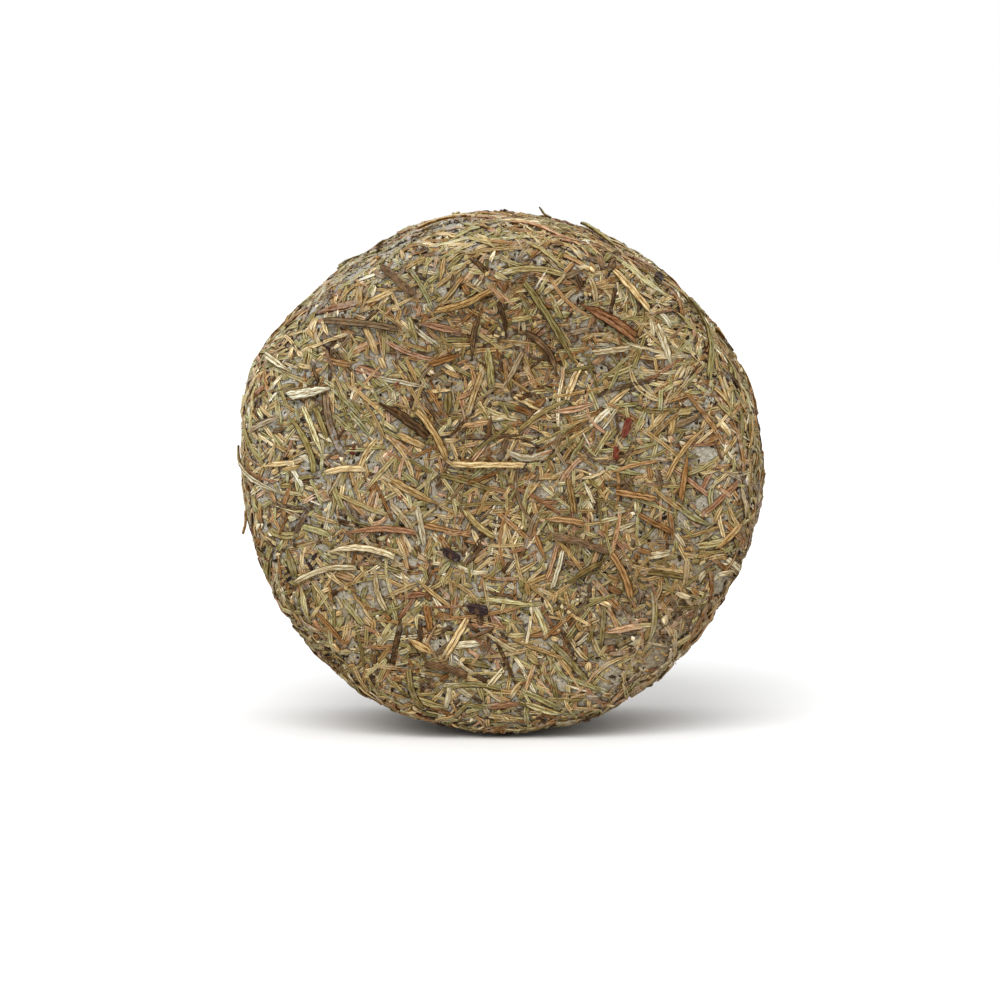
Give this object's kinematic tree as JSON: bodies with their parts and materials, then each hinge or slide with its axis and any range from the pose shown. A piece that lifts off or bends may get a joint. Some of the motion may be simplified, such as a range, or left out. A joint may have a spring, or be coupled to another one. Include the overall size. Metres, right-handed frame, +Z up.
{
  "type": "herb-coated cheese wheel",
  "caption": "Small wheel of soft cheese standing on its rim, coated all over in dried herb needles, resting on a small flat of the rim.",
  "frame": {"origin": "middle of the small flat that the wheel rests on, at table height", "axes": "+Z up, -Y the way the front face looks, +Y along the wheel's own axis, +X to the right as seen from the front"},
  "size_m": [0.1096, 0.0586, 0.1088],
  "materials": {
    "coated_rind": "matte",
    "needle_olive": "matte",
    "needle_tan": "matte",
    "needle_brown": "matte",
    "needle_dark": "matte",
    "needle_pale": "matte",
    "needle_russet": "matte",
    "twig": "matte",
    "chilli": "satin",
    "berry_skin": "satin"
  },
  "bodies": {
    "root": {"cheese": "coated_rind", "berry_skin_1": "berry_skin", "berry_skin_2": "berry_skin", "berry_skin_3": "berry_skin", "chilli_1": "chilli", "chilli_2": "chilli", "needle_brown_1": "needle_brown", "needle_brown_2": "needle_brown", "needle_brown_3": "needle_brown", "needle_brown_4": "needle_brown", "needle_brown_5": "needle_brown", "needle_brown_6": "needle_brown", "needle_brown_7": "needle_brown", "needle_dark_1": "needle_dark", "needle_dark_2": "needle_dark", "needle_dark_3": "needle_dark", "needle_dark_4": "needle_dark", "needle_dark_5": "needle_dark", "needle_dark_6": "needle_dark", "needle_dark_7": "needle_dark", "needle_olive_1": "needle_olive", "needle_olive_2": "needle_olive", "needle_olive_3": "needle_olive", "needle_olive_4": "needle_olive", "needle_olive_5": "needle_olive", "needle_olive_6": "needle_olive", "needle_olive_7": "needle_olive", "needle_olive_8": "needle_olive", "needle_olive_9": "needle_olive", "needle_olive_10": "needle_olive", "needle_olive_11": "needle_olive", "needle_pale_1": "needle_pale", "needle_pale_2": "needle_pale", "needle_pale_3": "needle_pale", "needle_pale_4": "needle_pale", "needle_pale_5": "needle_pale", "needle_pale_6": "needle_pale", "needle_pale_7": "needle_pale", "needle_pale_8": "needle_pale", "needle_pale_9": "needle_pale", "needle_russet_1": "needle_russet", "needle_russet_2": "needle_russet", "needle_russet_3": "needle_russet", "needle_tan_1": "needle_tan", "needle_tan_2": "needle_tan", "needle_tan_3": "needle_tan", "needle_tan_4": "needle_tan", "needle_tan_5": "needle_tan", "needle_tan_6": "needle_tan", "needle_tan_7": "needle_tan", "needle_tan_8": "needle_tan", "needle_tan_9": "needle_tan", "needle_tan_10": "needle_tan", "needle_tan_11": "needle_tan", "needle_tan_12": "needle_tan", "twig_1": "twig", "twig_2": "twig", "twig_3": "twig", "twig_4": "twig"}
  },
  "joints": []
}
